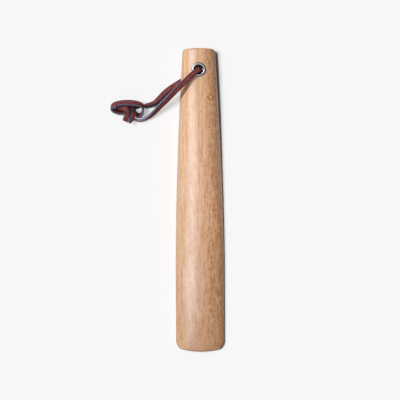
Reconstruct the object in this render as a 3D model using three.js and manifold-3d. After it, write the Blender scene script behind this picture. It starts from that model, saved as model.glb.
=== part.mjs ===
// A short shoe horn of beech, with a metal eyelet in each face of the handle and a leather lace tied through.
// Millimetres, +Z up. The horn lies on its blade's rims with its hollow face down: the blade's tip is at -Y,
// the handle's end at +Y, and the origin is on the table under the middle of the horn.
import * as THREE from "three";
import { mergeVertices } from "three/addons/utils/BufferGeometryUtils.js";
import Module from "manifold-3d";

// Plan of the horn; a distance "from the tip" is measured along Y
const HORN_LENGTH = 240;
const BLADE_WIDTH = 38.3;
const HANDLE_END_WIDTH = 25.4;
const TAPER_FROM_TIP = 60;
const TAPER_POWER = 1.85;
const TIP_CORNER_ACROSS = 5.5;
const TIP_CORNER_ALONG = 8;
const TIP_BULGE = 1.6;
const END_CORNER = 2.2;
const END_BULGE = 0.5;

// Side view of the horn; heights are above the table
const TIP_CROWN = 9;
const TIP_DROP = 3;
const TIP_DROP_LENGTH = 45;
const HANDLE_CROWN = 14.6;
const CROWN_RISE_LENGTH = 200;
const HANDLE_BACK = 3.2;
const FLAT_RIM_FROM_TIP = 152;
const BACK_RISE_LENGTH = 63;
const BLADE_EDGE = 2.2;
const HANDLE_EDGE = 7;
const EDGE_RISE_FROM_TIP = 130;
const EDGE_RISE_LENGTH = 115;
const BACK_POWER = 5;
const BACK_FLAT_CUT = 0.7;
const TIP_ROUND = 1.6;
const END_ROUND = 1.4;

// Hollow of the blade
const RIM_WIDTH = 3;
const TIP_THICKNESS = 2.8;
const HOLLOW_FULL_FROM_TIP = 66;
const HOLLOW_END_LENGTH = 84;
const HOLLOW_POWER = 0.8;

// Eyelets and their hole
const HOLE_FROM_END = 17;
const EYELET_BORE = 7;
const EYELET_WALL = 0.4;
const FLANGE_DIAMETER = 10.8;
const FLANGE_HEIGHT = 1.2;
const FRONT_SEAT_DEPTH = 0.8;
const REAR_SEAT_DEPTH = 1;
const BARREL_GAP = 0.8;
const EYELET_CLEARANCE = 0.1;

// Lace
const LACE_WIDTH = 4.3;
const LACE_THICKNESS = 1.8;
const LACE_EDGE = 0.45;
const LACE_CUT_SLANT = 0.4;
const LACE_STEP = 1.5;
const LACE_SEAT_GAP = 0.35;

// Loose ring of the knot: its middle from the hole's axis and above the table, its half axes and its lean
const RING_X = -56.6;
const RING_Y = -29.5;
const RING_HEIGHT = 8;
const RING_HALF_LENGTH = 12.5;
const RING_HALF_HEIGHT = 6.4;
const RING_LEAN = THREE.MathUtils.degToRad(53);

// Fineness of the facets
const TIP_STEPS = 7;
const BODY_STEPS = 34;
const END_STEPS = 4;
const DROP_STEPS = 5;
const HOLLOW_END_STEPS = 14;
const CROWN_FACETS = 28;
const BACK_FACETS = 16;
const ROUND_FACETS = 28;
const CUT_MARGIN = 4;

const tipY = -HORN_LENGTH / 2;
const endY = HORN_LENGTH / 2;
const holeY = endY - HOLE_FROM_END;

const wasm = await Module();
wasm.setup();

// Solids and meshes

function solidOf(geometry) {
  const bare = geometry.clone();
  bare.deleteAttribute("normal");
  bare.deleteAttribute("uv");
  const merged = mergeVertices(bare, 1e-4);
  return new wasm.Manifold(
    new wasm.Mesh({
      numProp: 3,
      vertProperties: merged.attributes.position.array,
      triVerts: new Uint32Array(merged.index.array),
    }),
  );
}

function geometryOf(solid) {
  const { vertProperties, triVerts } = solid.getMesh();
  const geometry = new THREE.BufferGeometry();
  geometry.setAttribute("position", new THREE.BufferAttribute(new Float32Array(vertProperties), 3));
  geometry.setIndex(new THREE.BufferAttribute(new Uint32Array(triVerts), 1));
  geometry.computeVertexNormals();
  return geometry;
}

// A closed skin over rings of points of the same count, with a fan over the first and the last ring.
function loft(rings) {
  const count = rings[0].length;
  const points = rings.flat();
  const faces = [];
  for (let i = 0; i < rings.length - 1; i++) {
    for (let j = 0; j < count; j++) {
      const a = i * count + j;
      const b = i * count + ((j + 1) % count);
      faces.push(a, b, a + count, b, b + count, a + count);
    }
  }
  const fan = (ring, first, turned) => {
    const middle = points.length;
    points.push(ring.reduce((sum, p) => sum.add(p), new THREE.Vector3()).divideScalar(count));
    for (let j = 0; j < count; j++) {
      const pair = [first + j, first + ((j + 1) % count)];
      faces.push(middle, ...(turned ? pair.reverse() : pair));
    }
  };
  fan(rings[0], 0, true);
  fan(rings[rings.length - 1], (rings.length - 1) * count, false);
  const geometry = new THREE.BufferGeometry().setFromPoints(points);
  geometry.setIndex(faces);
  geometry.computeVertexNormals();
  return geometry;
}

function uprightCylinder(radius, low, high) {
  const geometry = new THREE.CylinderGeometry(radius, radius, high - low, ROUND_FACETS);
  geometry.rotateX(Math.PI / 2);
  geometry.translate(0, holeY, (low + high) / 2);
  return geometry;
}

// Rules of the horn's shape

const { clamp, lerp, smoothstep } = THREE.MathUtils;

// From 0 at the end of the horn to 1 where a round of that length is complete.
function roundOff(distance, length) {
  const left = 1 - clamp(distance / length, 0, 1);
  return Math.sqrt(1 - left * left);
}

function halfWidth(y) {
  const start = tipY + TAPER_FROM_TIP;
  const share = clamp((y - start) / (endY - start), 0, 1) ** TAPER_POWER;
  return lerp(BLADE_WIDTH, HANDLE_END_WIDTH, share) / 2;
}

// How far the blade bends down to the table towards its tip.
function tipDrop(y) {
  return TIP_DROP * (1 - clamp((y - tipY) / TIP_DROP_LENGTH, 0, 1)) ** 2;
}

function crownHeight(y) {
  const high = lerp(TIP_CROWN, HANDLE_CROWN, smoothstep(y, tipY, tipY + CROWN_RISE_LENGTH)) - tipDrop(y);
  const tipLoss = TIP_ROUND * (1 - roundOff(y - tipY, TIP_ROUND));
  const endLoss = END_ROUND * (1 - roundOff(endY - y, END_ROUND));
  return high - tipLoss - endLoss;
}

function backHeight(y) {
  const start = tipY + FLAT_RIM_FROM_TIP;
  const endGain = END_ROUND * (1 - roundOff(endY - y, END_ROUND));
  return HANDLE_BACK * smoothstep(y, start, start + BACK_RISE_LENGTH) + endGain;
}

function edgeHeight(y) {
  const start = tipY + EDGE_RISE_FROM_TIP;
  return lerp(BLADE_EDGE, HANDLE_EDGE, smoothstep(y, start, start + EDGE_RISE_LENGTH));
}

// Half the width that is left where the plan's corners are rounded.
function trimmedHalfWidth(y) {
  const tipInset = TIP_CORNER_ACROSS * (1 - roundOff(y - tipY, TIP_CORNER_ALONG));
  const endInset = END_CORNER * (1 - roundOff(endY - y, END_CORNER));
  return halfWidth(y) - tipInset - endInset;
}

function crownAt(x, y) {
  const share = clamp(x / halfWidth(y), -1, 1);
  return edgeHeight(y) + (crownHeight(y) - edgeHeight(y)) * Math.sqrt(1 - share * share);
}

function backAt(x, y) {
  const share = Math.abs(clamp(x / halfWidth(y), -1, 1));
  const depth = edgeHeight(y) - backHeight(y) + BACK_FLAT_CUT;
  const low = edgeHeight(y) - depth * (1 - share ** BACK_POWER) ** (1 / BACK_POWER);
  return Math.max(low, backHeight(y));
}

// The horn before it is hollowed: rings along Y that follow the crown from right to left and the back again.
function hornBlank() {
  const quarter = Math.PI / 2;
  const steps = (count, place) => Array.from({ length: count }, (_, k) => place(k / count));
  const along = [
    ...steps(TIP_STEPS, (share) => tipY + TIP_CORNER_ALONG * (1 - Math.cos(share * quarter))),
    ...steps(BODY_STEPS, (share) => lerp(tipY + TIP_CORNER_ALONG, endY - END_CORNER, share)),
    ...steps(END_STEPS, (share) => endY - END_CORNER * (1 - Math.sin(share * quarter))),
    endY,
  ];
  const rings = along.map((y) => {
    const half = trimmedHalfWidth(y);
    const toTip = 1 - clamp((y - tipY) / HORN_LENGTH, 0, 1);
    const place = (x, height) => {
      const bend = (x / half) ** 2 * (TIP_BULGE * toTip - END_BULGE * (1 - toTip));
      return new THREE.Vector3(x, y + bend, height);
    };
    const ring = [];
    for (let k = 0; k <= CROWN_FACETS; k++) {
      const x = half * Math.cos((Math.PI * k) / CROWN_FACETS);
      ring.push(place(x, crownAt(x, y)));
    }
    for (let k = 1; k < BACK_FACETS; k++) {
      const x = -half * Math.cos((Math.PI * k) / BACK_FACETS);
      ring.push(place(x, backAt(x, y)));
    }
    return ring;
  });
  return loft(rings.reverse());
}

// What the cutter takes out of the blade: a trough that runs out of the tip and ends round near the handle.
function bladeHollow() {
  const depth = TIP_CROWN - TIP_THICKNESS;
  const start = tipY - CUT_MARGIN;
  const full = tipY + HOLLOW_FULL_FROM_TIP;
  const places = [start, tipY];
  for (let k = 1; k <= DROP_STEPS; k++) places.push(tipY + (TIP_DROP_LENGTH * k) / DROP_STEPS);
  places.push(full);
  for (let k = 1; k < HOLLOW_END_STEPS; k++) {
    const angle = (k / HOLLOW_END_STEPS) * (Math.PI / 2);
    places.push(full + HOLLOW_END_LENGTH * Math.sin(angle));
  }
  const rings = places.map((y) => {
    const left = 1 - clamp((y - full) / HOLLOW_END_LENGTH, 0, 1) ** 2;
    const half = (halfWidth(y) - RIM_WIDTH) * Math.sqrt(left);
    const ring = [new THREE.Vector3(half, y, -CUT_MARGIN)];
    for (let k = 0; k <= CROWN_FACETS; k++) {
      const angle = (Math.PI * k) / CROWN_FACETS;
      const height = (depth * left - tipDrop(y)) * Math.sin(angle) ** (2 * HOLLOW_POWER);
      ring.push(new THREE.Vector3(half * Math.cos(angle), y, height));
    }
    ring.push(new THREE.Vector3(-half, y, -CUT_MARGIN));
    return ring;
  });
  return loft(rings.reverse());
}

// Where the eyelets sit
const frontSeat = crownHeight(holeY) - FRONT_SEAT_DEPTH;
const rearSeat = backHeight(holeY) + REAR_SEAT_DEPTH;
const barrelRadius = EYELET_BORE / 2 + EYELET_WALL;
const barrelLength = (frontSeat - rearSeat - BARREL_GAP) / 2;
const frontFace = frontSeat + EYELET_CLEARANCE + FLANGE_HEIGHT;
const rearFace = rearSeat - EYELET_CLEARANCE - FLANGE_HEIGHT;

function horn() {
  const holeRadius = barrelRadius + EYELET_CLEARANCE;
  const hole = uprightCylinder(holeRadius, rearSeat - CUT_MARGIN, frontSeat + CUT_MARGIN);
  const seatRadius = FLANGE_DIAMETER / 2 + EYELET_CLEARANCE;
  const frontPocket = uprightCylinder(seatRadius, frontSeat, HANDLE_CROWN + CUT_MARGIN);
  const rearPocket = uprightCylinder(seatRadius, backHeight(holeY) - CUT_MARGIN, rearSeat);
  return geometryOf(
    [bladeHollow(), hole, frontPocket, rearPocket].reduce(
      (left, cut) => left.subtract(solidOf(cut)),
      solidOf(hornBlank()),
    ),
  );
}

// One eyelet with its seat at height 0: a barrel that goes down the hole and a flange whose rim rolls over.
function eyelet() {
  const bore = EYELET_BORE / 2;
  const outer = FLANGE_DIAMETER / 2;
  const middle = (bore + outer) / 2;
  const profile = new THREE.Path();
  profile.moveTo(bore, -barrelLength);
  profile.lineTo(barrelRadius, -barrelLength);
  profile.lineTo(barrelRadius, 0);
  profile.lineTo(outer - FLANGE_HEIGHT / 4, 0);
  profile.quadraticCurveTo(outer, 0, outer, FLANGE_HEIGHT / 4);
  profile.quadraticCurveTo(outer, FLANGE_HEIGHT, middle, FLANGE_HEIGHT);
  profile.quadraticCurveTo(bore, FLANGE_HEIGHT, bore, 0);
  profile.closePath();
  const points = profile.getPoints(4).filter((p, i, all) => i === 0 || p.distanceTo(all[i - 1]) > 1e-6);
  const geometry = new THREE.LatheGeometry(points, ROUND_FACETS);
  geometry.rotateX(Math.PI / 2);
  return geometryOf(solidOf(geometry));
}

// The lace's route: [x, y from the hole's axis, height above the table], then the way its width points there

const laceHalf = LACE_THICKNESS / 2;
const rearRun = rearFace - LACE_SEAT_GAP - laceHalf;
const ringAxis = new THREE.Vector3(0, -Math.sin(RING_LEAN), Math.cos(RING_LEAN));
const ringUp = new THREE.Vector3(0, Math.cos(RING_LEAN), Math.sin(RING_LEAN));

// A place in the ring's own frame: across, up its slope and out towards its open side.
function inRing(across, up, out) {
  const place = new THREE.Vector3(RING_X + across, RING_Y, RING_HEIGHT);
  return place.addScaledVector(ringUp, up).addScaledVector(ringAxis, out).toArray();
}

// The ring itself, turning from its underside to the left, over the top and down its right side.
function ringTurn(degrees) {
  const angle = THREE.MathUtils.degToRad(degrees);
  return inRing(RING_HALF_LENGTH * Math.cos(angle), RING_HALF_HEIGHT * Math.sin(angle), 0);
}

const alongRing = ringAxis.clone().negate().toArray();
const laceRoute = [
  // Tail of the rear run, up over the ring's underside, into the ring, and back along behind it
  [inRing(-2.2, -8.4, 6), [1, 0.3, -0.1]],
  [inRing(-1.1, -5, 5.8), [1, 0.3, -0.1]],
  [inRing(-0.2, -1.6, 5), [1, 0.3, 0]],
  [inRing(-0.9, 1.9, 3.1), [0.75, 0.6, 0.3]],
  [inRing(-4.2, 1.4, 1.2), [0.25, 0.85, 0.45]],
  [inRing(-7.8, 0.5, -0.3), [0.1, 0.6, 0.8]],
  [inRing(-9.2, 0.3, -2.2), [0, 0.6, 0.8]],
  [inRing(-7.8, -0.4, -4.1), [0, 0.7, 0.7]],
  [inRing(-4.4, -2, -5), [0, 0.85, 0.5]],
  [inRing(0, -3.4, -5.2), [0, 0.95, 0.3]],
  [inRing(4.6, -3.8, -4.9), [0, 0.92, 0.4]],
  [inRing(9, -3.1, -4.8), [0, 0.5, 0.87]],
  // Rear run, from the knot up to the handle
  [[-43.7, -27.7, 2.7], [0.15, -0.35, 0.93]],
  [[-41.5, -27.3, 2.8], [0.2, -0.45, 0.87]],
  [[-38, -26.5, 2.9], [0.3, -0.55, 0.78]],
  [[-34.9, -25.1, 3.1], [0.4, -0.6, 0.7]],
  [[-31.4, -21.9, 3], [0.62, -0.65, 0.48]],
  [[-27.4, -17.7, 2.5], [0.66, -0.68, 0.34]],
  [[-23.6, -14.6, 2.1], [0.62, -0.76, 0.22]],
  [[-19.1, -11.5, rearRun], [0.55, -0.83, 0.06]],
  [[-14.2, -8.5, rearRun], [0.5, -0.85, 0.1]],
  [[-8, -4.8, rearRun], [0.5, -0.85, 0]],
  [[-3.7, -2.3, rearRun], [0.5, -0.85, 0]],
  [[-0.9, -0.6, rearRun + 0.7], [0.55, -0.83, 0]],
  // Through both eyelets
  [[0, 0, rearFace + 2], [0.6, -0.8, 0]],
  [[0.9, 0.85, frontFace - 2.4], [0.68, -0.73, 0]],
  [[0.2, 0.2, frontFace + 0.3], [0.7, -0.7, 0]],
  // Front run, from the handle down to the table
  [[-3.6, -2.8, frontFace + 1.5], [0.7, -0.7, 0]],
  [[-9.8, -8.5, frontFace + 2.1], [0.7, -0.7, -0.1]],
  [[-15.4, -14, frontFace + 1.5], [0.66, -0.69, -0.3]],
  [[-20.5, -18.9, frontFace - 0.2], [0.6, -0.65, -0.45]],
  [[-25.5, -23.8, 12.4], [0.54, -0.6, -0.58]],
  [[-30.4, -28.3, 9.6], [0.47, -0.54, -0.7]],
  [[-35, -32.7, 6.9], [0.36, -0.46, -0.81]],
  [[-39.8, -36.6, 4.4], [0.18, -0.33, -0.93]],
  [[-44.7, -39, 2.9], [0.03, -0.14, -0.99]],
  [[-48.8, -39.3, 2.5], [0, -0.05, -1]],
  [[-52.4, -37.7, 2.6], [0, 0.1, -1]],
  [[-55.6, -35.3, 2.9], [0, 0.4, -0.92]],
  // Once round the ring
  [ringTurn(-104), [0, 0.7, -0.7]],
  ...[-128, -152, -180, -206, -230, -250, -270, -290, -310, -334, -360].map((degrees) => [
    ringTurn(degrees),
    alongRing,
  ]),
  // Down inside the ring, up and over, and down beside the other tail
  [inRing(12.2, -2.6, 0.3), alongRing],
  [inRing(11.6, -5.6, 0.9), alongRing],
  [inRing(10, -7.6, 1.7), alongRing],
  [inRing(7.8, -7.6, 1.4), alongRing],
  [inRing(6.2, -6.3, 0.4), [-0.1, 0.78, -0.6]],
  [inRing(5.2, -4.4, -0.6), [-0.45, 0.7, -0.3]],
  [inRing(4.7, -2.6, -0.4), [-0.8, 0.45, 0.1]],
  [inRing(4.4, -1.5, 1), [-0.85, 0.1, 0.4]],
  [inRing(4.3, -1.7, 2.9), [-0.75, -0.2, 0.6]],
  [inRing(4.2, -3, 4.7), [-0.7, -0.35, 0.62]],
  [inRing(3.9, -4.8, 6), [-0.66, -0.42, 0.62]],
  [inRing(3.5, -6.5, 6.9), [-0.65, -0.45, 0.6]],
  [inRing(3, -8.2, 7.4), [-0.65, -0.45, 0.6]],
];

// The lace's cross-section, as shares of its width and thickness directions.
function laceOutline() {
  const side = LACE_WIDTH / 2;
  const face = LACE_THICKNESS / 2;
  const quarter = [
    [side, face - LACE_EDGE],
    [side - LACE_EDGE, face],
  ];
  const flipped = [...quarter].reverse();
  return [
    ...quarter,
    ...flipped.map(([w, t]) => [-w, t]),
    ...quarter.map(([w, t]) => [-w, -t]),
    ...flipped.map(([w, t]) => [w, -t]),
  ];
}

// Rings of points along the lace, each square to the route and turned with its width.
function laceRings() {
  const middles = laceRoute.map(([p]) => new THREE.Vector3(...p));
  const line = new THREE.CatmullRomCurve3(middles, false, "centripetal");
  const turn = new THREE.CatmullRomCurve3(laceRoute.map(([, w]) => new THREE.Vector3(...w).normalize()));
  const spans = laceRoute.length - 1;
  const places = [];
  for (let i = 0; i < spans; i++) {
    const long = line.points[i].distanceTo(line.points[i + 1]);
    const count = Math.max(1, Math.round(long / LACE_STEP));
    for (let k = 0; k < count; k++) places.push((i + k / count) / spans);
  }
  places.push(1);
  const outline = laceOutline();
  return places.map((t) => {
    const slant = t === 0 || t === 1 ? LACE_CUT_SLANT : 0;
    const middle = line.getPoint(t);
    const ahead = line.getTangent(t);
    const wide = turn.getPoint(t);
    wide.addScaledVector(ahead, -wide.dot(ahead)).normalize();
    const thick = new THREE.Vector3().crossVectors(ahead, wide);
    return outline.map(([w, h]) =>
      middle.clone().addScaledVector(wide, w).addScaledVector(thick, h).addScaledVector(ahead, -w * slant),
    );
  });
}

// The least distance between stretches of the lace that are further apart along it than its bends are wide.
function leastGap(rings) {
  const apart = Math.ceil((3 * LACE_WIDTH) / LACE_STEP);
  const fine = rings.map((ring) =>
    ring.flatMap((p, j) => {
      const next = ring[(j + 1) % ring.length];
      return [0, 1 / 3, 2 / 3].map((share) => p.clone().lerp(next, share));
    }),
  );
  let least = Infinity;
  for (let i = 0; i < fine.length; i++) {
    for (let k = i + apart; k < fine.length; k++) {
      for (const p of fine[i]) for (const q of fine[k]) least = Math.min(least, p.distanceTo(q));
    }
  }
  return least;
}

const laceSkin = laceRings();
console.log("least gap of the lace to itself, mm:", leastGap(laceSkin).toFixed(2));

// Assembly

const beech = new THREE.MeshStandardMaterial({ color: 0xd9a878, roughness: 0.5, metalness: 0 });
const steel = new THREE.MeshStandardMaterial({ color: 0xc9ccce, roughness: 0.25, metalness: 1 });
const leather = new THREE.MeshStandardMaterial({ color: 0x5e2426, roughness: 0.6, metalness: 0 });

const shoeHorn = new THREE.Group();

function addPiece(name, geometry, material) {
  const piece = new THREE.Mesh(geometry, material);
  piece.name = name;
  shoeHorn.add(piece);
  return piece;
}

addPiece("horn", horn(), beech);

const frontEyelet = addPiece("front_eyelet", eyelet(), steel);
frontEyelet.position.set(0, holeY, frontSeat + EYELET_CLEARANCE);

const rearEyelet = addPiece("rear_eyelet", eyelet(), steel);
rearEyelet.rotation.x = Math.PI;
rearEyelet.position.set(0, holeY, rearSeat - EYELET_CLEARANCE);

const lace = addPiece("lace", loft(laceSkin), leather);
lace.position.y = holeY;

export default shoeHorn;
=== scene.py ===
import math

import bpy
import numpy as np
from mathutils import Matrix, Vector


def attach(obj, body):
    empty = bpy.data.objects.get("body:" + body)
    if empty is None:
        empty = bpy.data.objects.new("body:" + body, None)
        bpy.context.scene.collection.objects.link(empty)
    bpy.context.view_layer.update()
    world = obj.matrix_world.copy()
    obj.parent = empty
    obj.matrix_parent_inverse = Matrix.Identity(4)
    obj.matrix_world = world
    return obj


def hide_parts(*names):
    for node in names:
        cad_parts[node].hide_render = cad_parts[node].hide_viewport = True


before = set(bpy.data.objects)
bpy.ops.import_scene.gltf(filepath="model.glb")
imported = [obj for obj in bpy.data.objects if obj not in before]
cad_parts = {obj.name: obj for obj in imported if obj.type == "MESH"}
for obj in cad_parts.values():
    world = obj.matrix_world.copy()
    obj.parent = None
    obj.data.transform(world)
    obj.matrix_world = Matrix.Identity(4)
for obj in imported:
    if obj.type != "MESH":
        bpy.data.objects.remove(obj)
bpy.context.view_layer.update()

mm = 0.001
scene = bpy.context.scene
scene.view_settings.view_transform = "Standard"


# a colour as it shows on screen, 0 to 255, turned into the linear one that nodes take
def screenColour(red, green, blue):
    def linear(value):
        value = value / 255
        return value / 12.92 if value <= 0.04045 else ((value + 0.055) / 1.055) ** 2.4
    return (linear(red), linear(green), linear(blue), 1.0)


# one socket of a node tree: sums on it add Math nodes, and node() adds anything else
class Wire:
    def __init__(self, tree, socket=None):
        self.tree = tree
        self.socket = socket

    def node(self, kind, settings=None, values=None, out=0):
        made = self.tree.nodes.new(kind)
        for name, value in (settings or {}).items():
            setattr(made, name, value)
        for name, value in (values or {}).items():
            for one in value if isinstance(value, list) else [value]:
                if isinstance(one, Wire):
                    self.tree.links.new(one.socket, made.inputs[name])
                else:
                    made.inputs[name].default_value = one
        return Wire(self.tree, made.outputs[out] if made.outputs else None)

    def output(self, name):
        return Wire(self.tree, self.socket.node.outputs[name])

    def math(self, operation, *values):
        return self.node("ShaderNodeMath", {"operation": operation}, dict(enumerate(values)))

    def __add__(self, other):
        return self.math("ADD", self, other)

    def __radd__(self, other):
        return self.math("ADD", other, self)

    def __sub__(self, other):
        return self.math("SUBTRACT", self, other)

    def __rsub__(self, other):
        return self.math("SUBTRACT", other, self)

    def __mul__(self, other):
        return self.math("MULTIPLY", self, other)

    def __rmul__(self, other):
        return self.math("MULTIPLY", other, self)

    def __truediv__(self, other):
        return self.math("DIVIDE", self, other)

    def __rtruediv__(self, other):
        return self.math("DIVIDE", other, self)

    def __pow__(self, other):
        return self.math("POWER", self, other)

    def __abs__(self):
        return self.math("ABSOLUTE", self)

    def apply(self, operation):
        return self.math(operation, self)

    def sqrt(self):
        return self.math("SQRT", self)

    def least(self, other):
        return self.math("MINIMUM", self, other)

    def most(self, other):
        return self.math("MAXIMUM", self, other)

    def clamped(self):
        return self.least(1.0).most(0.0)

    def eased(self, low, high):
        share = ((self - low) / (high - low)).clamped()
        return share * share * (3.0 - 2.0 * share)

    # eased up to a strength; it falls where full is the lower value
    def mark(self, begin, full, strength):
        return self.eased(begin, full) * strength

    # eased up over one stretch and down again over a later one
    def between(self, up, down):
        return self.eased(*up) * (1.0 - self.eased(*down))

    # colours blend through a Mix node, by its colour sockets; self is the share of the second one
    def blend(self, first, second):
        return self.node("ShaderNodeMix", {"data_type": "RGBA"}, {0: self, 6: first, 7: second}, 2)


def lerp(first, second, share):
    return first + (second - first) * share


# runs a tree on a new object and keeps the result as a plain mesh
def growPiece(name, tree, sizes, start=None):
    piece = bpy.data.objects.new(name, start or bpy.data.meshes.new(name))
    modifier = piece.modifiers.new("shape", "NODES")
    modifier.node_group = tree
    for socket in tree.interface.items_tree:
        if socket.in_out == "INPUT" and socket.name in sizes:
            modifier[socket.identifier] = sizes[socket.name]
    scene.collection.objects.link(piece)
    bpy.context.view_layer.update()
    grown = bpy.data.meshes.new_from_object(piece.evaluated_get(bpy.context.evaluated_depsgraph_get()))
    piece.modifiers.clear()
    piece.data = grown
    grown.name = name
    return piece


def newTree(name, inputs, line=None):
    tree = bpy.data.node_groups.new(name, "GeometryNodeTree")
    tree.interface.new_socket("Geometry", in_out="OUTPUT", socket_type="NodeSocketGeometry")
    if line:  # the object's own geometry comes in by the first socket
        tree.interface.new_socket(line, in_out="INPUT", socket_type="NodeSocketGeometry")
    for inputName, value in inputs.items():
        kind = "NodeSocketInt" if isinstance(value, int) else "NodeSocketFloat"
        tree.interface.new_socket(inputName, in_out="INPUT", socket_type=kind)
    return tree


# the end of a tree: smooth faces, sharp edges where they bend past an angle, and one material
def finishTree(start, body, sharpFrom, material):
    body = start.node("GeometryNodeSetShadeSmooth", {"domain": "FACE"},
                      {"Geometry": body, "Shade Smooth": True})
    bend = start.node("GeometryNodeInputMeshEdgeAngle")
    sharp = bend.math("GREATER_THAN", bend, math.radians(sharpFrom))
    body = start.node("GeometryNodeSetShadeSmooth", {"domain": "EDGE"},
                      {"Geometry": body, "Selection": sharp, "Shade Smooth": False})
    body = start.node("GeometryNodeRealizeInstances", values={"Geometry": body})
    body = start.node("GeometryNodeSetMaterial", values={"Geometry": body, "Material": material})
    start.node("NodeGroupOutput", values={"Geometry": body})


def newMaterial(name):
    material = bpy.data.materials.new(name)
    material.use_nodes = True
    material.node_tree.nodes.clear()
    return material, Wire(material.node_tree)


def closeMaterial(start, shader):
    start.node("ShaderNodeOutputMaterial", values={"Surface": shader})


# places on a piece in millimetres, so that patterns stay with it
def spotInMm(start):
    spot = start.node("ShaderNodeTexCoord").output("Object")
    return start.node("ShaderNodeVectorMath", {"operation": "SCALE"}, {"Vector": spot, "Scale": 1.0 / mm})


def noise(start, spot, scale, detail, roughness=0.5, distortion=0.0):
    return start.node("ShaderNodeTexNoise", values={
        "Vector": spot, "Scale": scale, "Detail": detail, "Roughness": roughness, "Distortion": distortion})


# camera: straight above, far enough back that the handle hardly spreads
cameraSizes = {
    "lens": 135.6, "sensor": 36.0, "clipEnd": 50000.0, "x": 0.45, "y": 0.26, "height": 1200.0, "roll": -0.28,
}

cameraData = bpy.data.cameras.new("camera")
cameraData.lens = cameraSizes["lens"]
cameraData.sensor_width = cameraSizes["sensor"]
cameraData.clip_end = cameraSizes["clipEnd"] * mm
camera = bpy.data.objects.new("camera", cameraData)
camera.location = (cameraSizes["x"] * mm, cameraSizes["y"] * mm, cameraSizes["height"] * mm)
camera.rotation_euler = (0.0, 0.0, math.radians(cameraSizes["roll"]))
scene.collection.objects.link(camera)
scene.camera = camera
print("camera placed")


# lace: its route in millimetres from the hole's axis, and the way its width points there
laceSizes = {
    "width": 4.3, "thickness": 1.8, "step": 0.7, "cutSlant": 0.4, "outline": 40, "squareness": 9.0,
    "sharpFrom": 50.0,
    "holeY": 103.0, "rearFace": 2.9, "frontFace": 15.1, "rearRun": 1.65,
    "ringX": -56.6, "ringY": -29.5, "ringHeight": 8.0,
    "ringHalfLength": 12.5, "ringHalfHeight": 6.4, "ringLean": 53.0,
    "frontLength": 0.1586, "rearLength": 0.1037,
}

ringLean = math.radians(laceSizes["ringLean"])
ringAxis = np.array([0.0, -math.sin(ringLean), math.cos(ringLean)])
ringUp = np.array([0.0, math.cos(ringLean), math.sin(ringLean)])
ringMiddle = np.array([laceSizes["ringX"], laceSizes["ringY"], laceSizes["ringHeight"]])
alongRing = tuple(-ringAxis)


# a place in the ring's own frame: across, up its slope and out towards its open side
def inRing(across, up, out):
    return tuple(ringMiddle + np.array([across, 0.0, 0.0]) + up * ringUp + out * ringAxis)


def ringTurn(degrees):
    angle = math.radians(degrees)
    across = laceSizes["ringHalfLength"] * math.cos(angle)
    up = laceSizes["ringHalfHeight"] * math.sin(angle)
    return inRing(across, up, 0)


rearRun, rearFace, frontFace = laceSizes["rearRun"], laceSizes["rearFace"], laceSizes["frontFace"]
rearRoute = [
    # tail, up over the ring's underside, into the ring and back along behind it
    (inRing(-2.2, -8.4, 6), (1, 0.3, -0.1)),
    (inRing(-1.1, -5, 5.8), (1, 0.3, -0.1)),
    (inRing(-0.2, -1.6, 5), (1, 0.3, 0)),
    (inRing(-0.9, 1.9, 3.1), (0.75, 0.6, 0.3)),
    (inRing(-4.2, 1.4, 1.2), (0.25, 0.85, 0.45)),
    (inRing(-7.8, 0.5, -0.3), (0.1, 0.6, 0.8)),
    (inRing(-9.2, 0.3, -2.2), (0, 0.6, 0.8)),
    (inRing(-7.8, -0.4, -4.1), (0, 0.7, 0.7)),
    (inRing(-4.4, -2, -5), (0, 0.85, 0.5)),
    (inRing(0, -3.4, -5.2), (0, 0.95, 0.3)),
    (inRing(4.6, -3.8, -4.9), (0, 0.92, 0.4)),
    (inRing(9, -3.1, -4.8), (0, 0.5, 0.87)),
    # from the knot up to the handle
    ((-43.7, -27.7, 2.7), (0.15, -0.35, 0.93)),
    ((-41.5, -27.3, 2.8), (0.2, -0.45, 0.87)),
    ((-38, -26.5, 2.9), (0.3, -0.55, 0.78)),
    ((-34.9, -25.1, 3.1), (0.4, -0.6, 0.7)),
    ((-31.4, -21.9, 3), (0.62, -0.65, 0.48)),
    ((-27.4, -17.7, 2.5), (0.66, -0.68, 0.34)),
    ((-23.6, -14.6, 2.1), (0.62, -0.76, 0.22)),
    ((-19.1, -11.5, rearRun), (0.55, -0.83, 0.06)),
    ((-14.2, -8.5, rearRun), (0.5, -0.85, 0.1)),
    ((-8, -4.8, rearRun), (0.5, -0.85, 0)),
    ((-3.7, -2.3, rearRun), (0.5, -0.85, 0)),
    ((-0.9, -0.6, rearRun + 0.7), (0.55, -0.83, 0)),
    ((0, 0, rearFace + 2), (0.6, -0.8, 0)),
]
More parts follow.
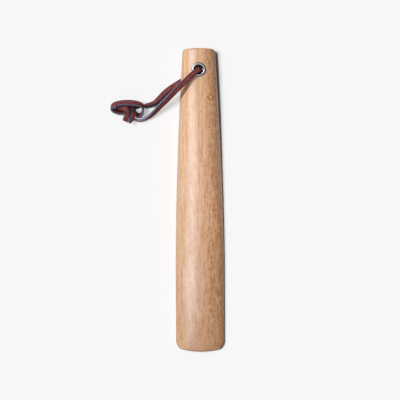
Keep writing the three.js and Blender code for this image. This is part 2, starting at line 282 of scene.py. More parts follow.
frontRoute = [
    # out of the front eyelet and down to the table
    ((0.9, 0.85, frontFace - 2.4), (0.68, -0.73, 0)),
    ((0.2, 0.2, frontFace + 0.3), (0.7, -0.7, 0)),
    ((-3.6, -2.8, frontFace + 1.5), (0.7, -0.7, 0)),
    ((-9.8, -8.5, frontFace + 2.1), (0.7, -0.7, -0.1)),
    ((-15.4, -14, frontFace + 1.5), (0.66, -0.69, -0.3)),
    ((-20.5, -18.9, frontFace - 0.2), (0.6, -0.65, -0.45)),
    ((-25.5, -23.8, 12.4), (0.54, -0.6, -0.58)),
    ((-30.4, -28.3, 9.6), (0.47, -0.54, -0.7)),
    ((-35, -32.7, 6.9), (0.36, -0.46, -0.81)),
    ((-39.8, -36.6, 4.4), (0.18, -0.33, -0.93)),
    ((-44.7, -39, 2.9), (0.03, -0.14, -0.99)),
    ((-48.8, -39.3, 2.5), (0, -0.05, -1)),
    ((-52.4, -37.7, 2.6), (0, 0.1, -1)),
    ((-55.6, -35.3, 2.9), (0, 0.4, -0.92)),
    # once round the ring
    (ringTurn(-104), (0, 0.7, -0.7)),
    *[(ringTurn(turn), alongRing)
      for turn in (-128, -152, -180, -206, -230, -250, -270, -290, -310, -334, -360)],
    # down inside the ring, up and over, and down beside the other tail
    (inRing(12.2, -2.6, 0.3), alongRing),
    (inRing(11.6, -5.6, 0.9), alongRing),
    (inRing(10, -7.6, 1.7), alongRing),
    (inRing(7.8, -7.6, 1.4), alongRing),
    (inRing(6.2, -6.3, 0.4), (-0.1, 0.78, -0.6)),
    (inRing(5.2, -4.4, -0.6), (-0.45, 0.7, -0.3)),
    (inRing(4.7, -2.6, -0.4), (-0.8, 0.45, 0.1)),
    (inRing(4.4, -1.5, 1), (-0.85, 0.1, 0.4)),
    (inRing(4.3, -1.7, 2.9), (-0.75, -0.2, 0.6)),
    (inRing(4.2, -3, 4.7), (-0.7, -0.35, 0.62)),
    (inRing(3.9, -4.8, 6), (-0.66, -0.42, 0.62)),
    (inRing(3.5, -6.5, 6.9), (-0.65, -0.45, 0.6)),
    (inRing(3, -8.2, 7.4), (-0.65, -0.45, 0.6)),
]


# a smooth line through points; places are counted in spans, so 2.5 is halfway from point 2 to point 3
def smoothLine(points, places):
    points = np.asarray(points, float)
    ends = np.vstack([2 * points[0] - points[1], points, 2 * points[-1] - points[-2]])
    line = []
    for place in places:
        span = min(int(place), len(points) - 2)
        share = place - span
        before, start, stop, after = ends[span:span + 4]
        legs = (start - before, stop - start, after - stop)
        # the root evens out long and short spans
        gaps = [max(np.linalg.norm(leg), 1e-8) ** 0.5 for leg in legs]
        leave = legs[0] / gaps[0] - (stop - before) / (gaps[0] + gaps[1]) + legs[1] / gaps[1]
        reach = legs[1] / gaps[1] - (after - start) / (gaps[1] + gaps[2]) + legs[2] / gaps[2]
        leave, reach = leave * gaps[1], reach * gaps[1]
        line.append(start + leave * share + (3 * (stop - start) - 2 * leave - reach) * share ** 2
                    + (2 * (start - stop) + leave + reach) * share ** 3)
    return np.array(line)


laceRoute = rearRoute + frontRoute
routePoints = [point for point, wide in laceRoute]
routeWides = [np.array(wide, float) / np.linalg.norm(wide) for point, wide in laceRoute]
places = []
for span in range(len(laceRoute) - 1):
    long = np.linalg.norm(np.subtract(routePoints[span + 1], routePoints[span]))
    count = max(2, round(long / laceSizes["step"]))
    places += [span + k / count for k in range(count)]
places.append(len(laceRoute) - 1)
laceLine = smoothLine(routePoints, places) + np.array([0.0, laceSizes["holeY"], 0.0])
laceAhead = np.gradient(laceLine, axis=0)
laceAhead /= np.linalg.norm(laceAhead, axis=1)[:, None]
laceWide = smoothLine(routeWides, places)
laceWide -= laceAhead * np.sum(laceWide * laceAhead, axis=1)[:, None]
laceWide /= np.linalg.norm(laceWide, axis=1)[:, None]
halfWay = len(rearRoute) - 0.5  # half way up the bore, where the two strips meet
middle = min(range(len(places)), key=lambda k: abs(places[k] - halfWay))


# sweeps a flat strip with rounded edges along a line of points that carry their own width direction
def laceTree(sizes, material):
    tree = newTree("laceStrip", sizes, "Line")
    start = Wire(tree)
    given = start.node("NodeGroupInput")
    size = {name: given.output(name) for name in sizes}

    def carry(geometry, name, value):
        return start.node("GeometryNodeStoreNamedAttribute", {"data_type": "FLOAT", "domain": "POINT"},
                          {"Geometry": geometry, "Name": name, "Value": value})

    def carried(name, kind):
        return start.node("GeometryNodeInputNamedAttribute", {"data_type": kind}, {"Name": name})

    line = start.node("GeometryNodeMeshToCurve", values={"Mesh": given.output("Line")})
    line = start.node("GeometryNodeSetCurveNormal", {"mode": "FREE"},
                      {"Curve": line, "Normal": carried("wide", "FLOAT_VECTOR")})
    along = start.node("GeometryNodeSplineParameter").output("Length")
    line = carry(line, "along", along)
    line = carry(line, "toEnd", start.node("GeometryNodeSplineLength") - along)
    # the outline is a squared oval
    circle = start.node("GeometryNodeCurvePrimitiveCircle", {"mode": "RADIUS"},
                        {"Resolution": size["Outline Points"], "Radius": 1.0})
    spot = start.node("ShaderNodeSeparateXYZ", values={0: start.node("GeometryNodeInputPosition")})
    power = 2.0 / size["Squareness"]
    across, up = [axis.apply("SIGN") * abs(axis) ** power for axis in (spot, spot.output("Y"))]
    outlinePlace = start.node("ShaderNodeCombineXYZ", values={
        "X": across * size["Width"] * 0.5, "Y": up * size["Thickness"] * 0.5})
    outline = carry(circle, "across", across)
    outline = start.node("GeometryNodeSetPosition", values={"Geometry": outline, "Position": outlinePlace})
    strip = start.node("GeometryNodeCurveToMesh",
                       values={"Curve": line, "Profile Curve": outline, "Fill Caps": True})
    # the cut end slants
    offset = start.node("ShaderNodeVectorMath", {"operation": "SCALE"},
                        {"Vector": carried("cut", "FLOAT_VECTOR"), "Scale": carried("across", "FLOAT")})
    strip = start.node("GeometryNodeSetPosition", values={"Geometry": strip, "Offset": offset})
    finishTree(start, strip, laceSizes["sharpFrom"], material)
    return tree


# leather: a waxed red face rubbed in specks, paler tails, pale slate edges, and painted shade on one edge
# and where the strands cross over the ring
leatherLook = {
    "face": screenColour(114, 45, 43), "faceDark": screenColour(78, 25, 24),
    "faceWorn": screenColour(150, 86, 88), "tail": screenColour(174, 78, 76),
    "edge": screenColour(122, 127, 150), "edgeDark": screenColour(92, 98, 122),
    # painted shade: a navy for the shaded edge, and a deeper one also used for the shade between crossing
    # strands
    "edgeShade": screenColour(62, 70, 90), "deepShade": screenColour(36, 42, 56),
    # how fine each pattern is per mm, its detail and roughness; the fibres run along the strip
    "cloud": (0.35, 3.0), "pores": (3.5, 4.0, 0.6), "specks": (0.9, 1.0), "grain": 2.2,
    "fibres": (1.6, 3.0), "fibreAcross": 3.0, "fibreAlong": 0.12,
    # where each mark begins and is full in its pattern, and its strength
    "rubbedFibres": (0.4, 0.7, 0.4), "rubbedPores": (0.48, 0.66, 0.25), "rubbedSpecks": (0.5, 0.62, 0.4),
    "darkSpecks": (0.5, 0.38, 0.5), "darkBorder": 0.4,
    "lightCloud": (0.35, 0.68), "wornPores": (0.35, 0.65),
    # shares of the half width, then mm from the end and mm along the strip
    "shoulder": (0.35, 0.8), "edgeStart": (0.93, 0.965), "shadedSide": (-0.1, 0.1),
    "paleTail": (8.5, 5.0, 0.75),
    # where painted shade darkens the strip between crossing strands, in mm along it
    "crossingFrom": (138.0, 142.0), "crossingTo": (149.6, 152.0), "crossingStrength": 0.85,
    "roughness": 0.55, "poreRoughness": 0.16, "edgeRoughness": 0.2, "shine": 0.3,
    "grainRelief": -0.35, "poreRelief": 0.6, "fibreRelief": 0.3, "bump": 0.35, "bumpDepth": 0.12,
}


def leatherMaterial():
    look = leatherLook
    material, start = newMaterial("leather")

    def carried(name):
        return start.node("ShaderNodeAttribute", {"attribute_name": name}).output("Fac")

    spot = spotInMm(start)
    across, along, toEnd = carried("across"), carried("along") / mm, carried("toEnd") / mm
    strip = start.node("ShaderNodeCombineXYZ", values={
        "X": across * look["fibreAcross"], "Y": along * look["fibreAlong"]})
    cloud = noise(start, spot, *look["cloud"])
    grain = start.node("ShaderNodeTexVoronoi", {"feature": "F1"}, {"Vector": spot, "Scale": look["grain"]})
    pores = noise(start, spot, *look["pores"])
    specks = noise(start, spot, *look["specks"])
    fibres = noise(start, strip, *look["fibres"])
    edge = abs(across).eased(*look["edgeStart"])
    shoulder = abs(across).eased(*look["shoulder"])
    face = cloud.eased(*look["lightCloud"]).blend(look["faceDark"], look["face"])
    # the middle of the face is rubbed in specks, its borders stay dark
    rubbed = fibres.mark(*look["rubbedFibres"]) + pores.mark(*look["rubbedPores"])
    rubbed = rubbed + specks.mark(*look["rubbedSpecks"])
    face = (rubbed * (1.0 - shoulder)).clamped().blend(face, look["faceWorn"])
    unrubbed = shoulder * look["darkBorder"] + specks.mark(*look["darkSpecks"])
    face = unrubbed.clamped().blend(face, look["faceDark"])
    # the tails are paler, and the bend over the ring, where the strands cross, carries painted shade
    face = toEnd.mark(*look["paleTail"]).blend(face, look["tail"])
    crossingShade = along.between(look["crossingFrom"], look["crossingTo"])
    face = (crossingShade * look["crossingStrength"]).blend(face, look["deepShade"])
    # one edge keeps its pale slate colour; the other is painted navy shade, standing for the edge that faces
    # away from the light
    wear = pores.eased(*look["wornPores"])
    edgeColour = wear.blend(look["edgeDark"], look["edge"])
    shadedEdge = wear.blend(look["deepShade"], look["edgeShade"])
    side = across.eased(*look["shadedSide"]).blend(edgeColour, shadedEdge)
    colour = edge.blend(face, side)
    height = grain * look["grainRelief"] + pores * look["poreRelief"] + fibres * look["fibreRelief"]
    bump = start.node("ShaderNodeBump", values={
        "Height": height, "Strength": look["bump"], "Distance": look["bumpDepth"] * mm})
    rough = look["roughness"] + pores * look["poreRoughness"] + edge * look["edgeRoughness"]
    shader = start.node("ShaderNodeBsdfPrincipled", values={
        "Base Color": colour, "Roughness": rough, "Normal": bump, "Specular IOR Level": look["shine"]})
    closeMaterial(start, shader)
    return material


leather = leatherMaterial()
stripInputs = {
    "Width": laceSizes["width"] * mm, "Thickness": laceSizes["thickness"] * mm,
    "Squareness": laceSizes["squareness"], "Outline Points": laceSizes["outline"],
}
stripTree = laceTree(stripInputs, leather)


def laceStrip(name, order):
    line, wide = laceLine[order] * mm, laceWide[order]
    mesh = bpy.data.meshes.new(name + "Line")
    mesh.from_pydata(line.tolist(), [(k, k + 1) for k in range(len(line) - 1)], [])
    cut = np.zeros_like(line)
    ahead = line[-1] - line[-2]
    cut[-1] = ahead / np.linalg.norm(ahead) * laceSizes["cutSlant"] * laceSizes["width"] / 2 * mm
    for attributeName, rows in (("wide", wide), ("cut", cut)):
        attribute = mesh.attributes.new(attributeName, "FLOAT_VECTOR", "POINT")
        attribute.data.foreach_set("vector", rows.astype(np.float32).ravel())
    piece = growPiece(name, stripTree, stripInputs, mesh)
    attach(piece, "lace")
    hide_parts("lace")
    print(name, "length in mm", round(float(np.linalg.norm(np.diff(line, axis=0), axis=1).sum() / mm), 1))
    return piece


laceFront = laceStrip("laceFront", np.arange(middle, len(laceLine)))
laceRear = laceStrip("laceRear", np.arange(middle, -1, -1))
laces = [laceFront, laceRear]
print("lace swept")


# horn: one closed skin of a crown and a back, by the same rule as the CAD, in millimetres
hornSizes = {
    "Length": 240.0, "Blade Width": 38.3, "Handle Width": 25.4, "Taper From Tip": 60.0, "Taper Power": 1.85,
    "Tip Corner Across": 5.5, "Tip Corner Along": 8.0, "Tip Bulge": 1.6,
    "End Corner": 2.2, "End Bulge": 0.5,
    "Tip Crown": 9.0, "Tip Drop": 3.0, "Tip Drop Length": 45.0, "Handle Crown": 14.6, "Crown Rise": 200.0,
    "Handle Back": 3.2, "Flat Rim": 152.0, "Back Rise": 63.0, "Back Power": 5.0, "Back Flat Cut": 0.7,
    "Back Softness": 0.3, "Blade Edge": 2.2, "Handle Edge": 7.0,
    "Edge Rise From Tip": 130.0, "Edge Rise": 115.0, "Tip Round": 1.15, "End Round": 1.4,
    "Rim Width": 3.0, "Tip Thickness": 2.8, "Hollow Full": 66.0, "Hollow End": 84.0, "Hollow Power": 0.8,
    "Rim Softness": 0.5, "Hole From End": 17.0, "Hole Radius": 4.0, "Seat Radius": 5.5,
    "Front Seat": 13.8, "Rear Seat": 4.2, "Columns": 121, "Rows": 281,
}
# how the skin is meshed; the outermost grid lines close the upright wall between crown and back
hornMesh = {
    "wallColumns": 1, "wallRows": 2, "crowding": 0.85, "weld": 0.002, "thinnest": 0.05, "farOff": 50.0,
    "drillSides": 96, "drillReach": 20.0, "sharpFrom": 45.0,
}


def hornTree(sizes, material):
    tree = newTree("hornSkin", sizes)
    start = Wire(tree)
    given = start.node("NodeGroupInput")
    size = {name: given.output(name) for name in sizes}
    tip = size["Length"] * -0.5
    end = size["Length"] * 0.5
    grid = start.node("GeometryNodeMeshGrid", values={
        "Size X": 2.0, "Size Y": 2.0, "Vertices X": size["Columns"], "Vertices Y": size["Rows"]})
    spot = start.node("ShaderNodeSeparateXYZ", values={0: start.node("GeometryNodeInputPosition")})
    acrossGrid, alongGrid = spot, spot.output("Y")
    # the last grid lines stay on the outline and only close the wall
    acrossStop = 1.0 - hornMesh["wallColumns"] * 2.0 / (size["Columns"] - 1.0)
    alongStop = 1.0 - hornMesh["wallRows"] * 2.0 / (size["Rows"] - 1.0)
    across = ((acrossGrid / acrossStop).least(1.0).most(-1.0) * (math.pi / 2)).apply("SINE")
    run = (alongGrid / alongStop).least(1.0).most(-1.0)
    # rows crowd at both ends
    y = end * (run + (run * math.pi).apply("SINE") * (hornMesh["crowding"] / math.pi))
    closing = ((abs(acrossGrid) - acrossStop) / (1.0 - acrossStop)).clamped()
    closing = closing.most(((abs(alongGrid) - alongStop) / (1.0 - alongStop)).clamped())

    def roundOff(distance, length):
        left = 1.0 - (distance / length).clamped()
        return (1.0 - left * left).sqrt()

    taperStart = tip + size["Taper From Tip"]
    taper = ((y - taperStart) / (end - taperStart)).clamped() ** size["Taper Power"]
    half = lerp(size["Blade Width"], size["Handle Width"], taper) * 0.5
    bent = 1.0 - ((y - tip) / size["Tip Drop Length"]).clamped()
    drop = size["Tip Drop"] * bent * bent  # the blade bends down to the table towards its tip
    crown = lerp(size["Tip Crown"], size["Handle Crown"], y.eased(tip, tip + size["Crown Rise"])) - drop
    backStart = tip + size["Flat Rim"]
    back = size["Handle Back"] * y.eased(backStart, backStart + size["Back Rise"])
    edgeStart = tip + size["Edge Rise From Tip"]
    edge = lerp(size["Blade Edge"], size["Handle Edge"], y.eased(edgeStart, edgeStart + size["Edge Rise"]))
    inset = size["Tip Corner Across"] * (1.0 - roundOff(y - tip, size["Tip Corner Along"]))
    inset = inset + size["End Corner"] * (1.0 - roundOff(end - y, size["End Corner"]))
    trimmed = half - inset
    x = across * trimmed
    share = (abs(x) / half).least(1.0)
    top = edge + (crown - edge) * (1.0 - share * share).sqrt()
    depth = edge - back + size["Back Flat Cut"]
    low = edge - depth * (1.0 - share ** size["Back Power"]).most(0.0) ** (1.0 / size["Back Power"])
    low = low.math("SMOOTH_MAX", low, back, size["Back Softness"])
    # hollow of the blade, falling away past its rim so that the softened edge leaves the rim flat
    hollowStart = tip + size["Hollow Full"]
    endShare = ((y - hollowStart) / size["Hollow End"]).clamped()
    left = 1.0 - endShare * endShare
    hollowHalf = (half - size["Rim Width"]) * left.sqrt() + 0.001  # never quite nothing
    inside = 1.0 - (x / hollowHalf) * (x / hollowHalf)
    hollow = inside.apply("SIGN") * abs(inside) ** size["Hollow Power"]
    hollowDepth = left * (size["Tip Crown"] - size["Tip Thickness"]) - drop
    hollow = hollow.most(-1.0) * hollowDepth - (1.0 - left) ** 4.0
    low = low.math("SMOOTH_MAX", low, hollow, size["Rim Softness"])
    # rounded edges round the ends and the corners; the straight sides count as far off
    radius = lerp(size["Tip Round"], size["End Round"], (y - tip) / size["Length"])
    trimmedOff = inset.eased(0.0, 1.0)
    fromSide = trimmed - abs(x) + (1.0 - trimmedOff) * hornMesh["farOff"]
    fromOutline = (y - tip).least(end - y).least(fromSide)
    loss = radius * (1.0 - roundOff(fromOutline, radius))
    top = top - loss
    low = (low + loss).least(top - hornMesh["thinnest"])
    level = (top + low) * 0.5
    toTip = 0.5 - y / size["Length"]
    bulge = (x / trimmed) * (x / trimmed) * (size["Tip Bulge"] * toTip - size["End Bulge"] * (1.0 - toTip))

    def skin(height, outward):
        place = start.node("ShaderNodeCombineXYZ", values={
            "X": x * mm, "Y": (y + bulge) * mm, "Z": lerp(height, level, closing) * mm})
        sheet = start.node("GeometryNodeSetPosition", values={"Geometry": grid, "Position": place})
        return sheet if outward else start.node("GeometryNodeFlipFaces", values={"Mesh": sheet})

    body = start.node("GeometryNodeJoinGeometry", values={"Geometry": [skin(top, True), skin(low, False)]})
    body = start.node("GeometryNodeMergeByDistance",
                      values={"Geometry": body, "Distance": hornMesh["weld"] * mm})

    # the hole and the seats of the eyelets
    def drill(holeRadius, bottom, ceiling):
        rod = start.node("GeometryNodeMeshCylinder", {"fill_type": "NGON"}, {
            "Vertices": hornMesh["drillSides"],
            "Radius": holeRadius * mm, "Depth": (ceiling - bottom) * mm})
        place = start.node("ShaderNodeCombineXYZ", values={
            "Y": (end - size["Hole From End"]) * mm, "Z": (ceiling + bottom) * (0.5 * mm)})
        return start.node("GeometryNodeTransform", values={"Geometry": rod, "Translation": place})

    over = size["Front Seat"] + hornMesh["drillReach"]
    under = size["Rear Seat"] - hornMesh["drillReach"]
    drills = [
        drill(size["Hole Radius"], under, over),
        drill(size["Seat Radius"], size["Front Seat"], over),
        drill(size["Seat Radius"], under, size["Rear Seat"]),
    ]
    body = start.node("GeometryNodeMeshBoolean", {"operation": "DIFFERENCE", "solver": "MANIFOLD"},
                      {"Mesh 1": body, "Mesh 2": drills})
    finishTree(start, body, hornMesh["sharpFrom"], material)
    return tree


# beech: bands of tone, stripes, streaks, dark rays, flecks, pale sparks, rows of small rings and pin knots
beechLook = {
    "light": screenColour(224, 178, 140), "pink": screenColour(222, 179, 148),
    "warm": screenColour(222, 168, 118), "pale": screenColour(230, 192, 154),
    # blush is a painted highlight left of the middle, side is painted light on the left side
    "paintedHighlight": screenColour(200, 170, 157), "side": screenColour(228, 188, 152),
    "vein": screenColour(236, 204, 176), "dark": screenColour(184, 124, 73),
    # seat is the colour of the painted shade round the eyelets' rims
    "ray": screenColour(170, 94, 42), "seat": screenColour(58, 44, 36),
    # growth layers round a pith, in mm: they lie flatter to the surface from flatGrain on
    "flatGrain": (1.0, 9.0), "pithX": -10.0, "pithZ": -46.0, "layer": 2.4, "wander": 5.0, "ripple": 1.4,
    "layerUp": (0.35, 0.9), "layerDown": (0.92, 1.0), "layerStrength": (0.08, 0.16),
    # rows of small rings in the cells of a loose grid
    "ringRows": (4.0, 9.0), "ringGrid": (0.3, 0.21, 9.0), "ringScatter": 0.85, "ringChosen": (0.3, 0.45),
    "ringRadius": 0.33, "ringHalf": 0.13, "ringStrength": 0.5, "ringHeart": (0.24, 0.05, 0.6),
    # x, y, size and strength of each pin knot
    "knots": ((9.0, 81.2, 2.0, 2.4), (6.9, 109.4, 2.0, 0.9), (7.8, 96.6, 0.8, 1.6)),
    "knotStretch": 1.1, "knotRadius": 0.9, "knotHalf": 0.45,
    # tones across the board, in shares of its half width, and along it, in mm
    "bladeHalf": 19.0, "handleHalf": 12.8, "narrows": (-60.0, 120.0),
    "highlightUp": (-0.78, -0.5), "highlightDown": (-0.14, 0.14), "highlightStrength": 0.6,
    "sideEdge": (-0.5, -0.8, 0.55), "sideUp": (-100.0, -30.0), "sideDown": (55.0, 95.0),
    "paleUp": (0.0, 30.0), "paleDown": (70.0, 95.0), "paleStrength": 0.25,
    "warmTip": (-80.0, -120.0, 0.4), "endShade": (118.3, 119.7, 0.5), "seatShadeRim": (0.6, 0.0, 0.75),
    "roughness": 0.3, "poreRoughness": 0.08, "coat": 0.2, "coatRoughness": 0.25,
    "fibreRelief": 0.6, "poreRelief": -0.4, "layerRelief": -0.1, "bump": 0.25, "bumpDepth": 0.05,
}
# noises of the grain: how fine across and along the board per mm, a shift, detail and roughness
beechGrain = {
    "bands": (0.3, 0.006, 2.0, 1.0, 0.5), "stripes": (0.75, 0.012, 43.0, 2.0, 0.5),
    "streaks": (0.7, 0.09, 11.0, 3.0, 0.6), "fibres": (2.6, 0.1, 23.0, 2.0, 0.5),
    "veins": (1.2, 0.025, 67.0, 2.0, 0.5), "rays": (1.0, 0.34, 5.0, 2.0, 0.6),
    "flecks": (1.1, 0.36, 83.0, 1.0, 0.5), "sparks": (1.0, 0.13, 97.0, 1.0, 0.5),
    "wander": (0.06, 0.016, 31.0, 2.0, 0.5), "ripple": (0.3, 0.07, 7.0, 2.0, 0.5),
}
# marks made of them: the noise, where the mark begins and is full, its strength on upright and on flat grain
beechMarks = {
    "pinkBand": ("bands", 0.42, 0.58, 1.0, 1.0), "warmBand": ("bands", 0.5, 0.34, 0.85, 0.3),
    "paleStripe": ("stripes", 0.46, 0.3, 0.6, 0.6), "darkStripe": ("stripes", 0.45, 0.62, 0.2, 0.2),
    "paleVein": ("veins", 0.48, 0.34, 0.45, 0.45), "darkVein": ("veins", 0.5, 0.66, 0.2, 0.2),
    "streak": ("streaks", 0.42, 0.68, 0.2, 0.28), "fibre": ("fibres", 0.35, 0.75, 0.22, 0.22),
    "fleck": ("flecks", 0.46, 0.64, 0.22, 0.3), "spark": ("sparks", 0.5, 0.64, 0.1, 0.45),
    "ray": ("rays", 0.55, 0.63, 0.12, 0.7), "pore": ("rays", 0.55, 0.63, 1.0, 1.0),
}


def beechMaterial():
    look = beechLook
    material, start = newMaterial("beech")
    x = start.node("ShaderNodeSeparateXYZ", values={0: spotInMm(start)})
    y, z = x.output("Y"), x.output("Z")
    flat = x.eased(*look["flatGrain"])

    def stretched(acrossScale, alongScale, shift):
        return start.node("ShaderNodeCombineXYZ", values={
            "X": x * acrossScale + shift, "Y": y * alongScale, "Z": z * acrossScale})

    grain = {}
    for name, (acrossScale, alongScale, shift, detail, roughness) in beechGrain.items():
        grain[name] = noise(start, stretched(acrossScale, alongScale, shift), 1.0, detail, roughness)
    marks = {}
    for name, (source, begin, full, upright, lying) in beechMarks.items():
        strength = upright if upright == lying else lerp(upright, lying, flat)
        marks[name] = grain[source].mark(begin, full, strength)

    # growth layers, which show as lines, loops and end grain
    fromPithX, fromPithZ = x - look["pithX"], z - look["pithZ"]
    radius = (fromPithX * fromPithX + fromPithZ * fromPithZ).sqrt()
    radius = radius + grain["wander"] * look["wander"] + grain["ripple"] * look["ripple"]
    layers = (radius / look["layer"]).apply("FRACT").between(look["layerUp"], look["layerDown"])
    # small rings: the outline of a round spot in some cells of the grid
    cells = start.node("ShaderNodeTexVoronoi", {"feature": "F1"}, {
        "Vector": stretched(*look["ringGrid"]), "Scale": 1.0, "Randomness": look["ringScatter"]})
    lot = start.node("ShaderNodeSeparateColor", values={"Color": cells.output("Color")})
    inRow = lot.eased(*look["ringChosen"]) * x.eased(*look["ringRows"])
    rings = inRow * (1.0 - (abs(cells - look["ringRadius"]) / look["ringHalf"]).clamped())
    hearts = inRow * cells.mark(*look["ringHeart"])
    for knotX, knotY, size, strength in look["knots"]:
        awayX, awayY = (x - knotX) / size, (y - knotY) / (size * look["knotStretch"])
        away = (awayX * awayX + awayY * awayY).sqrt()
        knot = 1.0 - (abs(away - look["knotRadius"]) / look["knotHalf"]).clamped()
        rings = rings.most(strength * knot)

    colour = marks["pinkBand"].blend(look["light"], look["pink"])
    colour = marks["warmBand"].blend(colour, look["warm"])
    colour = marks["paleStripe"].blend(colour, look["pale"])
    # a painted highlight left of the middle, where the sheen falls, and painted light on the left side
    share = x / lerp(look["bladeHalf"], look["handleHalf"], y.eased(*look["narrows"]))
    paintedHighlight = share.between(look["highlightUp"], look["highlightDown"]) * look["highlightStrength"]
    colour = paintedHighlight.blend(colour, look["paintedHighlight"])
    side = share.mark(*look["sideEdge"]) * y.between(look["sideUp"], look["sideDown"])
    colour = side.blend(colour, look["side"])
    colour = marks["paleVein"].blend(colour, look["vein"])
    # the board is paler below the handle and warmer at the tip
    paler = y.between(look["paleUp"], look["paleDown"]) * look["paleStrength"]
    colour = paler.blend(colour, look["vein"])
    colour = y.mark(*look["warmTip"]).blend(colour, look["warm"])
    shade = layers * lerp(*look["layerStrength"], flat) + rings * look["ringStrength"]
    for name in ("streak", "fibre", "darkStripe", "darkVein", "fleck"):
        shade = shade + marks[name]
    colour = shade.clamped().blend(colour, look["dark"])
    colour = marks["ray"].blend(colour, look["ray"])
    colour = hearts.blend(colour, look["pale"])
    colour = marks["spark"].blend(colour, look["pale"])
    colour = y.mark(*look["endShade"]).blend(colour, look["dark"])  # painted shade: a darker band along the rounded top end
    # painted shade: a dark ring on the wood round each eyelet's rim, where the gap to its seat lies
    fromHole = y - laceSizes["holeY"]
    fromSeat = (x * x + fromHole * fromHole).sqrt() - hornSizes["Seat Radius"]
    colour = fromSeat.mark(*look["seatShadeRim"]).blend(colour, look["seat"])
    height = grain["fibres"] * look["fibreRelief"] + marks["pore"] * look["poreRelief"]
    height = height + layers * look["layerRelief"]
    bump = start.node("ShaderNodeBump", values={
        "Height": height, "Strength": look["bump"], "Distance": look["bumpDepth"] * mm})
    rough = look["roughness"] + (grain["fibres"] + marks["pore"]) * look["poreRoughness"]
    shader = start.node("ShaderNodeBsdfPrincipled", values={
        "Base Color": colour, "Roughness": rough, "Normal": bump,
        "Coat Weight": look["coat"], "Coat Roughness": look["coatRoughness"]})
    closeMaterial(start, shader)
    return material


beech = beechMaterial()
horn = growPiece("hornBody", hornTree(hornSizes, beech), hornSizes)
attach(horn, "horn")
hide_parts("horn")
print("horn grown,", len(horn.data.polygons), "faces")


# eyelets: a barrel in the hole and a flange whose rim rolls over onto its seat
eyeletSizes = {
    "bore": 3.5, "wall": 0.4, "flange": 5.4, "height": 1.2, "lip": 0.3, "depth": 4.4,
    "frontSeat": 13.9, "rearSeat": 4.1, "turns": 96, "lipSteps": 4, "rollSteps": 10, "sharpFrom": 40.0,
}
steelLook = {
    "colour": screenColour(196, 198, 202), "dull": screenColour(138, 140, 146),
    # the dark colour below is painted shade for the bore and the rim
    "paintedShade": screenColour(34, 33, 34),
    # patterns as on the leather, the scuffs with a swirl; inside and rim are distances from the hole's axis
    "haze": (0.9, 4.0), "scuffs": (6.0, 3.0, 0.5, 1.5), "dullScuffs": (0.55, 0.75, 0.4),
    "inside": (4.0, 3.6), "rim": (4.95, 5.3), "paintedShadeStrength": 0.9,
    "roughness": 0.22, "hazeRoughness": 0.1, "scuffRoughness": (0.5, 0.8, 0.12),
    "bump": 0.12, "bumpDepth": 0.03,
}


def steelMaterial():
    look = steelLook
    material, start = newMaterial("steel")
    spot = spotInMm(start)
    haze = noise(start, spot, *look["haze"])
    scuffs = noise(start, spot, *look["scuffs"])
    colour = scuffs.mark(*look["dullScuffs"]).blend(look["colour"], look["dull"])
    # painted shade darkens the bore and the flange's outer rim
    x = start.node("ShaderNodeSeparateXYZ", values={0: spot})
    fromHole = x.output("Y") - laceSizes["holeY"]
    away = (x * x + fromHole * fromHole).sqrt()
    paintedShade = away.eased(*look["inside"]).most(away.eased(*look["rim"]))
    colour = (paintedShade * look["paintedShadeStrength"]).blend(colour, look["paintedShade"])
    rough = look["roughness"] + haze * look["hazeRoughness"] + scuffs.mark(*look["scuffRoughness"])
    bump = start.node("ShaderNodeBump", values={
        "Height": scuffs, "Strength": look["bump"], "Distance": look["bumpDepth"] * mm})
    shader = start.node("ShaderNodeBsdfPrincipled", values={
        "Base Color": colour, "Metallic": 1.0, "Roughness": rough, "Normal": bump})
    closeMaterial(start, shader)
    return material


steel = steelMaterial()


# points of a curve that leaves first and reaches last in the direction of pull
def quadratic(first, pull, last, count):
    shares = np.linspace(0, 1, count + 1)[1:, None]
    first, pull, last = np.array([first, pull, last], float)
    return (1 - shares) ** 2 * first + 2 * shares * (1 - shares) * pull + shares ** 2 * last


def eyeletPiece(name, node, seat, upward):
    bore, outer, height = eyeletSizes["bore"], eyeletSizes["flange"], eyeletSizes["height"]
    barrel, depth = bore + eyeletSizes["wall"], eyeletSizes["depth"]
    crest, lip = (bore + outer) / 2, eyeletSizes["lip"]
    profile = np.vstack([
        [(bore, -depth), (barrel, -depth), (barrel, 0.0), (outer - lip, 0.0)],
        quadratic((outer - lip, 0), (outer, 0), (outer, lip), eyeletSizes["lipSteps"]),
        quadratic((outer, lip), (outer, height), (crest, height), eyeletSizes["rollSteps"]),
        quadratic((crest, height), (bore, height), (bore, 0), eyeletSizes["rollSteps"]),
    ])
    count, turns = len(profile), eyeletSizes["turns"]
    rows = []
    for angle in np.arange(turns) * 2 * math.pi / turns:
        for radius, rise in profile:
            y = laceSizes["holeY"] + radius * math.sin(angle) * upward
            rows.append((radius * math.cos(angle), y, seat + rise * upward))
    faces = []
    for i in range(turns):
        for j in range(count):
            a, b = i * count + j, i * count + (j + 1) % count
            c, d = (i + 1) % turns * count + (j + 1) % count, (i + 1) % turns * count + j
            faces.append((a, d, c, b))
    mesh = bpy.data.meshes.new(name)
    mesh.from_pydata((np.array(rows) * mm).tolist(), [], faces)
    mesh.materials.append(steel)
    mesh.shade_smooth()
    mesh.set_sharp_from_angle(angle=math.radians(eyeletSizes["sharpFrom"]))
    piece = bpy.data.objects.new(name, mesh)
    scene.collection.objects.link(piece)
    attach(piece, "horn")
    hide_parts(node)
    return piece


eyelets = [
    eyeletPiece("eyeletFront", "front_eyelet", eyeletSizes["frontSeat"], 1),
    eyeletPiece("eyeletRear", "rear_eyelet", eyeletSizes["rearSeat"], -1),
]
pieces = laces + [horn] + eyelets
print("eyelets spun")


# stage: a white table, lamps that light only the part, two suns for the table alone, and light all round
stageLook = {
    "floor": screenColour(216, 216, 216), "floorHalf": 4.0, "floorDrop": 0.2, "aim": (0.0, 0.01, 0.01),
    "fillLeft": 0.2, "fillRight": 0.08, "back": 0.94, "flag": 0.08, "flagStands": (-0.3, 0.6),
}
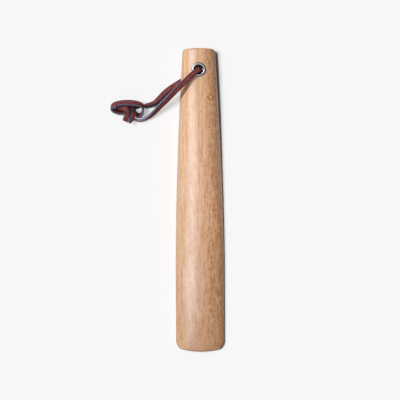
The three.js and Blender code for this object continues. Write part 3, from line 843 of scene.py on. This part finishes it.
# key, bounce and warm give light and shade; sheen only shines on wood and leather, and glint on metal
partLamps = {
    "key": {"place": (-0.45, 0.33, 0.58), "size": (0.1, 0.1), "power": 5.44, "tint": (1.0, 1.09, 1.17)},
    "bounce": {"place": (0.08, 0.015, 0.14), "size": (0.08, 0.08), "power": 0.06,
               "tint": (1.0, 0.92, 0.84)},
    "warm": {"place": (0.05, 0.0, 0.9), "size": (0.7, 0.7), "power": 0.95, "tint": (1.0, 0.66, 0.42)},
    "sheen": {"place": (-0.46, 0.02, 1.0), "size": (0.42, 0.9), "power": 9.0, "turn": 35.0,
              "shinesOn": [horn] + laces},
    "glint": {"place": (-0.6, 0.42, 0.62), "size": (0.5, 0.5), "power": 4.8, "shinesOn": eyelets},
}
# the sharp sun takes its shadows from the horn and the lace's rear run, the hazy one from every piece
tableLamps = {
    "tableLamp": {"from": (-0.3, 0.14, 1.0), "strength": 2.0, "spread": 4.0, "blockers": [horn, laceRear]},
    "hazeLamp": {"from": (-0.44, 0.1, 1.0), "strength": 2.1, "spread": 24.0, "blockers": pieces},
}

half, low = stageLook["floorHalf"], -stageLook["floorDrop"] * mm
floorMesh = bpy.data.meshes.new("table")
floorMesh.from_pydata([(-half, -half, low), (half, -half, low), (half, half, low), (-half, half, low)],
                      [], [(0, 1, 2, 3)])
floor = bpy.data.objects.new("table", floorMesh)
floor.visible_diffuse = False  # the table throws no light back up at the part
scene.collection.objects.link(floor)
floorMaterial, floorStart = newMaterial("tableWhite")
closeMaterial(floorStart, floorStart.node("ShaderNodeBsdfDiffuse", values={"Color": stageLook["floor"]}))
floorMesh.materials.append(floorMaterial)


def things(name, members):
    group = bpy.data.collections.new(name)
    for thing in members:
        group.objects.link(thing)
    return group


# a lamp that lights only some things, and whose shadows come only from some
def addLamp(name, data, place, back, lit, blockers=None, turn=0.0):
    lamp = bpy.data.objects.new(name, data)
    lamp.location = place
    lamp.rotation_mode = "QUATERNION"
    facing = Vector(back).normalized()
    along = Vector((-math.sin(turn), math.cos(turn), 0.0))
    along = (along - facing * along.dot(facing)).normalized()
    lamp.rotation_quaternion = Matrix((along.cross(facing), along, facing)).transposed().to_quaternion()
    scene.collection.objects.link(lamp)
    lamp.light_linking.receiver_collection = things(name + "Lit", lit)
    if blockers:
        lamp.light_linking.blocker_collection = things(name + "Blockers", blockers)
    return lamp


for name, look in partLamps.items():
    lampData = bpy.data.lights.new(name, "AREA")
    lampData.shape = "RECTANGLE"
    lampData.size, lampData.size_y = look["size"]
    lampData.energy = look["power"]
    lampData.color = look.get("tint", (1.0, 1.0, 1.0))
    away = Vector(look["place"]) - Vector(stageLook["aim"])
    turn = math.radians(look.get("turn", 0.0))
    lamp = addLamp(name, lampData, look["place"], away, look.get("shinesOn", pieces), turn=turn)
    lamp.visible_diffuse = "shinesOn" not in look
    lamp.visible_glossy = "shinesOn" in look

for name, look in tableLamps.items():
    lampData = bpy.data.lights.new(name, "SUN")
    lampData.energy = look["strength"]
    lampData.angle = math.radians(look["spread"])
    addLamp(name, lampData, (0.0, 0.0, 1.0), look["from"], [floor], look["blockers"])

world = bpy.data.worlds.new("studio")
world.use_nodes = True
world.node_tree.nodes.clear()
air = Wire(world.node_tree)
path = air.node("ShaderNodeLightPath")
towards = air.node("ShaderNodeSeparateXYZ", values={0: air.node("ShaderNodeTexCoord").output("Generated")})
flag = towards.eased(*stageLook["flagStands"])  # a dark flag stands on the right
fill = lerp(stageLook["fillLeft"], stageLook["fillRight"], flag)
mirrored = lerp(stageLook["back"], stageLook["flag"], flag)
glossy = path.output("Is Glossy Ray").most(path.output("Is Transmission Ray"))
strength = lerp(lerp(fill, mirrored, glossy), stageLook["back"], path.output("Is Camera Ray"))
sky = air.node("ShaderNodeBackground", values={"Color": (1.0, 1.0, 1.0, 1.0), "Strength": strength})
air.node("ShaderNodeOutputWorld", values={"Surface": sky})
scene.world = world
print("stage lit")
